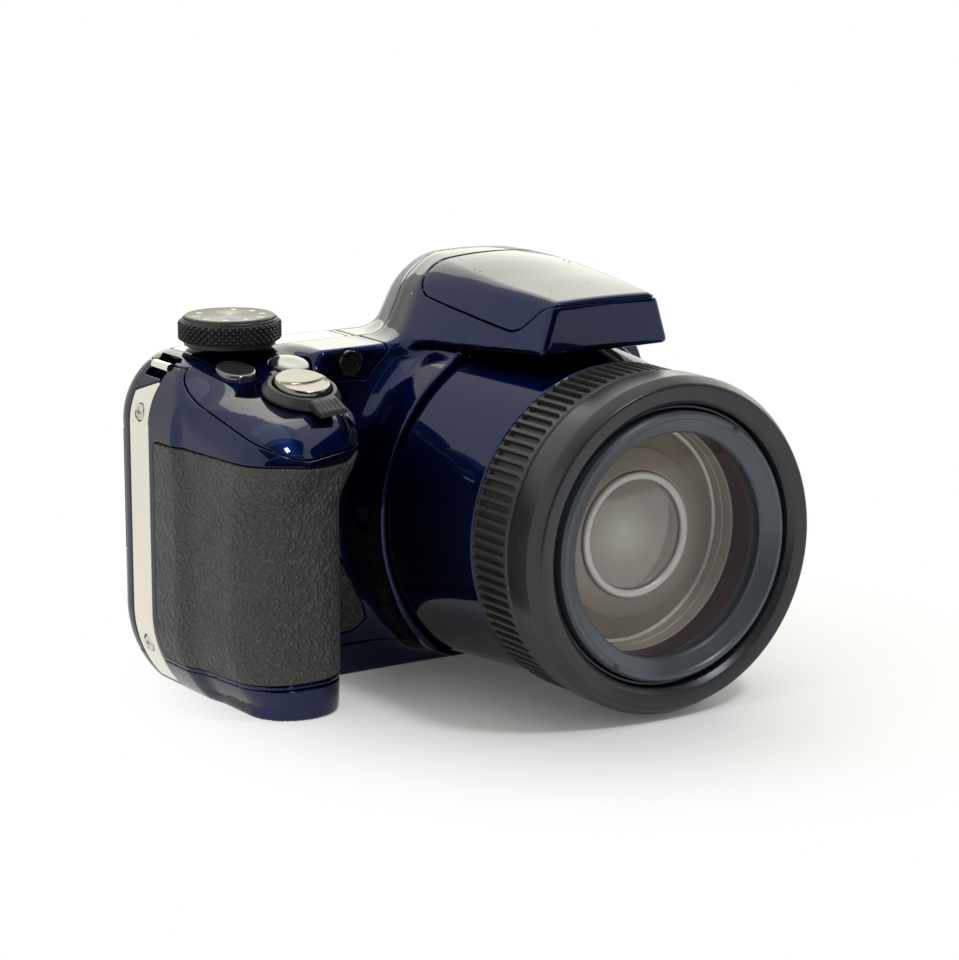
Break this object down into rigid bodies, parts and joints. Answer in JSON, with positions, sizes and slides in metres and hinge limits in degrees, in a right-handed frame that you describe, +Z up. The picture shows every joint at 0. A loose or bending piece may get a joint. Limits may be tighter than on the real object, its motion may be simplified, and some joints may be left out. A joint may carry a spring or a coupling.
{
  "type": "bridge camera",
  "caption": "Bridge camera with a telescoping zoom lens, pop-up flash, deep rubber hand grip, mode dial, zoom lever, rear screen and tripod socket.",
  "frame": {"origin": "centre of the tripod socket's mouth, on the base plane", "axes": "+X towards the plain side, away from the grip; the lens looks along -Y; +Z up"},
  "size_m": [0.123, 0.097, 0.091],
  "materials": {
    "body_blue": "metallic blue lacquer, gloss",
    "grip_rubber": "leather grain",
    "chrome": "polished",
    "silver": "fine brushed",
    "screw_steel": "plain",
    "black_plastic": "fine texture",
    "dark_satin": "satin",
    "glass": "coated",
    "clear_plastic": "ribbed diffuser",
    "screen_glass": "gloss window",
    "brass": "machined",
    "inner_metal": "pressed sheet",
    "board_green": "solder mask"
  },
  "bodies": {
    "body": {"front_cover": "body_blue", "top_cover": "body_blue", "rear_cover": "body_blue", "bottom_cover": "body_blue", "lens_shroud": "body_blue", "grip_rubber": "grip_rubber", "side_trim_left": "chrome", "side_trim_right": "chrome", "strap_lugs": "chrome", "top_trim": "silver", "side_screws": "screw_steel", "base_screws": "screw_steel", "door_hinge_pin": "screw_steel", "flash_hinge_pin": "screw_steel", "focus_lamp": "black_plastic", "lens_bezel": "black_plastic", "fixed_barrel": "black_plastic", "flash_bracket": "black_plastic", "flash_capacitor": "black_plastic", "memory_card": "black_plastic", "screen_panel": "black_plastic", "battery": "black_plastic", "rib_ring": "dark_satin", "rear_lens": "glass", "screen_window": "screen_glass", "tripod_socket": "brass", "zoom_motor": "inner_metal", "sensor_plate": "inner_metal", "chassis": "inner_metal", "card_socket": "inner_metal", "ports": "inner_metal", "image_sensor": "board_green", "main_board": "board_green"},
    "mode_dial": {"mode_dial": "black_plastic", "dial_disc": "silver"},
    "shutter": {"shutter_button": "chrome"},
    "zoom_lever": {"zoom_lever": "dark_satin"},
    "burst": {"burst_button": "dark_satin"},
    "exposure": {"exposure_button": "dark_satin"},
    "flash": {"flash_lid": "body_blue", "flash_reflector": "inner_metal", "flash_tube": "clear_plastic", "flash_window": "clear_plastic"},
    "cam_ring": {"cam_ring": "inner_metal"},
    "middle_barrel": {"middle_barrel": "black_plastic"},
    "inner_barrel": {"inner_barrel": "dark_satin", "front_lens": "glass", "second_lens": "glass", "lens_cell": "black_plastic"},
    "drive_gear": {"drive_gear": "brass"},
    "battery_door": {"battery_door": "body_blue"},
    "door_latch": {"door_latch": "dark_satin"},
    "port_door": {"port_door": "black_plastic"},
    "direction_pad": {"direction_pad": "dark_satin"},
    "ok_button": {"ok_button": "dark_satin"},
    "menu_button": {"menu_button": "dark_satin"},
    "play_button": {"play_button": "dark_satin"},
    "delete_button": {"delete_button": "dark_satin"},
    "video_button": {"video_button": "dark_satin"}
  },
  "joints": [
    {"name": "dial_turn", "type": "hinge", "parent": "body", "child": "mode_dial", "pos_m": [-0.059, 0.003, 0.0736], "axis": [0, 0, 1], "continuous": true},
    {"name": "shutter_press", "type": "slide", "parent": "body", "child": "shutter", "axis": [0, 0.2588, -0.9659], "range_m": [0, 0.0008], "stiffness_N_per_m": 800},
    {"name": "zoom_rock", "type": "hinge", "parent": "body", "child": "zoom_lever", "pos_m": [-0.0575, -0.0245, 0.06644], "axis": [0, -0.2588, 0.9659], "range_deg": [-25, 25], "stiffness_Nm_per_rad": 0.03},
    {"name": "burst_press", "type": "slide", "parent": "body", "child": "burst", "axis": [0, 0.2588, -0.9659], "range_m": [0, 0.0005], "stiffness_N_per_m": 700},
    {"name": "exposure_press", "type": "slide", "parent": "body", "child": "exposure", "axis": [0, 0.2588, -0.9659], "range_m": [0, 0.0005], "stiffness_N_per_m": 700},
    {"name": "flash_rise", "type": "hinge", "parent": "body", "child": "flash", "pos_m": [0, -0.023, 0.0855], "axis": [-1, 0, 0], "range_deg": [0, 45]},
    {"name": "cam_turn", "type": "hinge", "parent": "body", "child": "cam_ring", "pos_m": [0, 0, 0.037], "axis": [0, -1, 0], "range_deg": [0, 120]},
    {"name": "middle_slide", "type": "slide", "parent": "body", "child": "middle_barrel", "axis": [0, -1, 0], "range_m": [0, 0.018]},
    {"name": "inner_slide", "type": "slide", "parent": "middle_barrel", "child": "inner_barrel", "axis": [0, -1, 0], "range_m": [0, 0.014]},
    {"name": "gear_turn", "type": "hinge", "parent": "body", "child": "drive_gear", "pos_m": [-0.0308, 0, 0.05857], "axis": [0, -1, 0], "continuous": true},
    {"name": "battery_door_swing", "type": "hinge", "parent": "body", "child": "battery_door", "pos_m": [-0.068, 0, 0.0012], "axis": [0, 1, 0], "range_deg": [0, 90]},
    {"name": "latch_slide", "type": "slide", "parent": "battery_door", "child": "door_latch", "axis": [1, 0, 0], "range_m": [0, 0.0025]},
    {"name": "port_door_swing", "type": "hinge", "parent": "body", "child": "port_door", "pos_m": [-0.0807, 0.0115, 0], "axis": [0, 0, 1], "range_deg": [0, 95]},
    {"name": "direction_pad_press", "type": "slide", "parent": "body", "child": "direction_pad", "axis": [0, -1, 0], "range_m": [0, 0.0006], "stiffness_N_per_m": 600},
    {"name": "ok_button_press", "type": "slide", "parent": "body", "child": "ok_button", "axis": [0, -1, 0], "range_m": [0, 0.0006], "stiffness_N_per_m": 600},
    {"name": "menu_button_press", "type": "slide", "parent": "body", "child": "menu_button", "axis": [0, -1, 0], "range_m": [0, 0.0006], "stiffness_N_per_m": 600},
    {"name": "play_button_press", "type": "slide", "parent": "body", "child": "play_button", "axis": [0, -1, 0], "range_m": [0, 0.0006], "stiffness_N_per_m": 600},
    {"name": "delete_button_press", "type": "slide", "parent": "body", "child": "delete_button", "axis": [0, -1, 0], "range_m": [0, 0.0006], "stiffness_N_per_m": 600},
    {"name": "video_button_press", "type": "slide", "parent": "body", "child": "video_button", "axis": [0, -1, 0], "range_m": [0, 0.0006], "stiffness_N_per_m": 600}
  ],
  "couplings": [
    {"joint": "middle_slide", "follows": "cam_turn", "m_per_rad": 0.008594},
    {"joint": "inner_slide", "follows": "cam_turn", "m_per_rad": 0.006684},
    {"joint": "gear_turn", "follows": "cam_turn", "ratio": -8.4}
  ]
}
